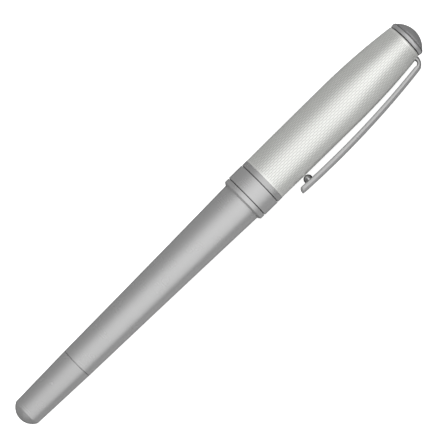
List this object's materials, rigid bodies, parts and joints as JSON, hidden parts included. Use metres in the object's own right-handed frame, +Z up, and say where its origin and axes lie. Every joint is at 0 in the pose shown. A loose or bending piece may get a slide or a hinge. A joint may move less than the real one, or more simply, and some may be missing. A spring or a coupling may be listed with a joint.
{
  "type": "rollerball pen",
  "caption": "Capped metal rollerball pen with a tapered barrel, ringed cap mouth, finely engraved cap shell and a bowed spring clip ending in a ball.",
  "frame": {"origin": "on the table under the middle of the pen's box, as the capped pen lies with its clip touching the table", "axes": "+X along the pen's axis from the tail end to the finial, +Z up from the table; the clip is on the -Y side and leans down"},
  "size_m": [0.139, 0.0144, 0.013],
  "materials": {
    "satin_metal": "satin grey plating, very fine turned grain",
    "engraved_metal": "silver, finely engraved in a woven pattern",
    "finial_metal": "satin, darker grey",
    "dark_metal": "matt dark",
    "polished_metal": "polished",
    "brass": "turned",
    "refill_steel": "drawn tube",
    "black_plastic": "fine satin",
    "rubber": "matt",
    "ink_fibre": "ink-filled fibre"
  },
  "bodies": {
    "section": {"grip_section": "black_plastic", "section_ring": "satin_metal", "snap_ring": "polished_metal", "nose_cone": "satin_metal", "thread_sleeve": "brass", "o_ring": "rubber"},
    "refill": {"refill_tube": "refill_steel", "refill_plug": "black_plastic", "ink_reservoir": "ink_fibre", "refill_nose": "black_plastic", "refill_tip": "refill_steel"},
    "ball": {"writing_ball": "polished_metal"},
    "spring": {"refill_spring": "refill_steel"},
    "barrel": {"barrel_tube": "satin_metal", "barrel_bush": "brass", "tail_cap": "satin_metal"},
    "cap": {"cap_shell": "engraved_metal", "band_sleeve": "dark_metal", "lip_ring": "satin_metal", "center_band": "satin_metal", "upper_ring": "satin_metal", "cap_liner": "black_plastic", "cap_bush": "brass", "clip_collar": "satin_metal", "finial": "finial_metal", "finial_stud": "brass", "finial_washer": "dark_metal"},
    "clip": {"clip_arm": "satin_metal", "clip_ball": "polished_metal"}
  },
  "joints": [
    {"name": "cap_pull", "type": "slide", "parent": "section", "child": "cap", "axis": [1, 0, 0], "range_m": [0, 0.055]},
    {"name": "clip_flex", "type": "hinge", "parent": "cap", "child": "clip", "pos_m": [0.06492, -0.00208, 0.00427], "axis": [0, -0.6192, 0.7852], "range_deg": [0, 3], "stiffness_Nm_per_rad": 1.5},
    {"name": "barrel_back_off", "type": "slide", "parent": "section", "child": "spring", "axis": [-1, 0, 0], "range_m": [0, 0.00375]},
    {"name": "barrel_unscrew", "type": "hinge", "parent": "spring", "child": "barrel", "pos_m": [-0.0195, 0.00075, 0.0065], "axis": [-1, 0, 0], "range_deg": [0, 1800]},
    {"name": "refill_press", "type": "slide", "parent": "section", "child": "refill", "axis": [-1, 0, 0], "range_m": [0, 0.0005], "stiffness_N_per_m": 300, "springref_m": -0.002, "deforming": ["refill_spring"]},
    {"name": "ball_roll", "type": "hinge", "parent": "refill", "child": "ball", "pos_m": [0.05315, 0.00075, 0.0065], "axis": [0, -0.6192, 0.7852], "continuous": true}
  ],
  "couplings": [
    {"joint": "barrel_unscrew", "follows": "barrel_back_off", "rad_per_m": 8377.6}
  ]
}
